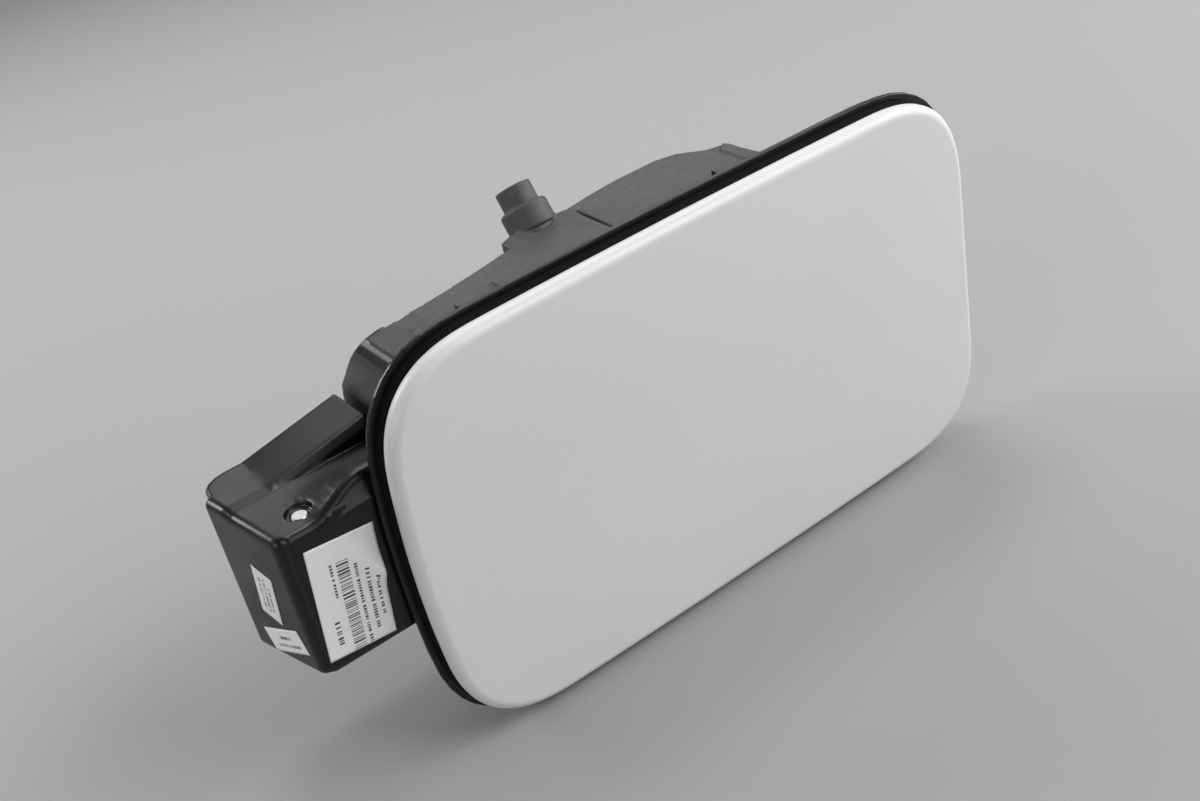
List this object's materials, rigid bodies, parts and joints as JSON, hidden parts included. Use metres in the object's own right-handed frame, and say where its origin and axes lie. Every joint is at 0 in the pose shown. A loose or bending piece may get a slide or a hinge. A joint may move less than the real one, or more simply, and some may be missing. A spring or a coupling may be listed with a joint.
{
  "type": "car fuel door",
  "caption": "Car fuel filler flap in its rim, with swan-neck hinge, hinge box, lip seal, soft filler bowl and drain spigot; the flap swings open on its pin.",
  "frame": {"origin": "centre of the flap, in the plane of its widest outline, which is the centre of the opening in the car's body", "axes": "-Y out of the car, through the flap's outer face; +X from the hinge side to the lock side; +Z along the hinge pin, towards the side of the drain spigot, as the picture shows it"},
  "size_m": [0.2776, 0.0738, 0.1574],
  "materials": {
    "primed_skin": "satin grey primer",
    "carrier_plastic": "moulded, satin",
    "pin_steel": "bright turned steel",
    "spring_steel": "rolled spring steel",
    "hard_black_plastic": "moulded, glossy",
    "soft_bowl_plastic": "soft moulding, matte",
    "seal_rubber": "matte",
    "stop_rubber": "matte",
    "bush_plastic": "moulded, satin",
    "ring_plastic": "moulded, satin",
    "label_paper": "white label stock, satin"
  },
  "bodies": {
    "housing": {"bowl_frame": "hard_black_plastic", "soft_bowl": "soft_bowl_plastic", "rim_seal": "seal_rubber", "hinge_pin": "pin_steel", "hinge_spring": "spring_steel", "bump_stop_upper": "stop_rubber", "bump_stop_lower": "stop_rubber", "lock_bolt_bush": "bush_plastic", "neck_screw_sleeve": "pin_steel", "neck_clamp_ring": "ring_plastic", "part_label": "label_paper", "upper_test_label": "label_paper", "lower_test_label": "label_paper"},
    "flap": {"flap_skin": "primed_skin", "flap_carrier": "carrier_plastic"}
  },
  "joints": [
    {"name": "flap_hinge", "type": "hinge", "parent": "housing", "child": "flap", "pos_m": [-0.142, 0.018, 0], "axis": [0, 0, -1], "range_deg": [0, 85]}
  ]
}
